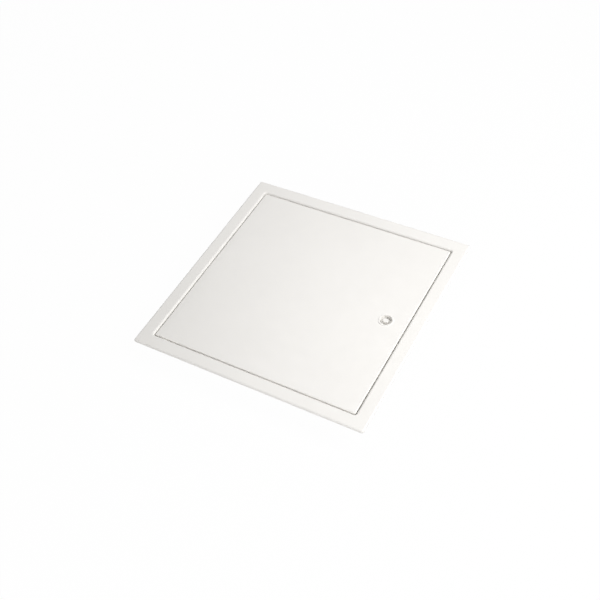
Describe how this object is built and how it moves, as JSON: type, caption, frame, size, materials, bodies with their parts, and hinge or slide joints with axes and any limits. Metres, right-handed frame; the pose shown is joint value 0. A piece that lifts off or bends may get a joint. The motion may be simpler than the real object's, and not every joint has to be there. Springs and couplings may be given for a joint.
{
  "type": "access panel",
  "caption": "Square metal access panel: pressed frame with a wall flange and mounting rails, door set just inside it on concealed pivots, spring pivot pin and square-key quarter-turn latch.",
  "frame": {"origin": "middle of the panel's square outline, on the plane of the rails' rear rims", "axes": "+Z out of the panel's face, +X to the latch side, +Y to the side of the spring pivot pin"},
  "size_m": [0.45, 0.45, 0.036],
  "materials": {
    "white_coat": "satin",
    "zinc_plate": "satin",
    "bright_steel": "polished",
    "dark_steel": "satin",
    "nylon": "matte",
    "bumper_rubber": "matte"
  },
  "bodies": {
    "frame": {"face_frame": "white_coat", "rail_left": "white_coat", "rail_right": "white_coat", "rail_top": "white_coat", "rail_bottom": "white_coat", "strike_bracket": "white_coat", "stop_tab_upper": "white_coat", "stop_tab_lower": "white_coat", "bumper_upper": "bumper_rubber", "bumper_lower": "bumper_rubber", "lower_pivot_pin": "bright_steel", "upper_pivot_bush": "nylon"},
    "door": {"door_panel": "white_coat", "stiffener_hinge_side": "white_coat", "stiffener_latch_side": "white_coat", "lower_pivot_bush": "nylon", "pin_guide_bracket": "white_coat", "pin_spring": "bright_steel", "latch_housing": "white_coat", "latch_nut": "zinc_plate"},
    "spring_pin": {"spring_pin": "bright_steel", "spring_pin_clip": "dark_steel"},
    "latch": {"latch_spindle": "white_coat", "stop_washer": "zinc_plate", "latch_cam": "zinc_plate", "cam_lock_washer": "dark_steel", "cam_screw": "bright_steel"}
  },
  "joints": [
    {"name": "door_swing", "type": "hinge", "parent": "frame", "child": "door", "pos_m": [-0.1755, 0, 0.0275], "axis": [0, -1, 0], "range_deg": [0, 146]},
    {"name": "latch_turn", "type": "hinge", "parent": "door", "child": "latch", "pos_m": [0.159, 0, 0.028], "axis": [0, 0, -1], "range_deg": [0, 90]},
    {"name": "pin_draw", "type": "slide", "parent": "door", "child": "spring_pin", "axis": [0, -1, 0], "range_m": [0, 0.006], "stiffness_N_per_m": 600, "springref_m": -0.008, "deforming": ["pin_spring"]}
  ]
}
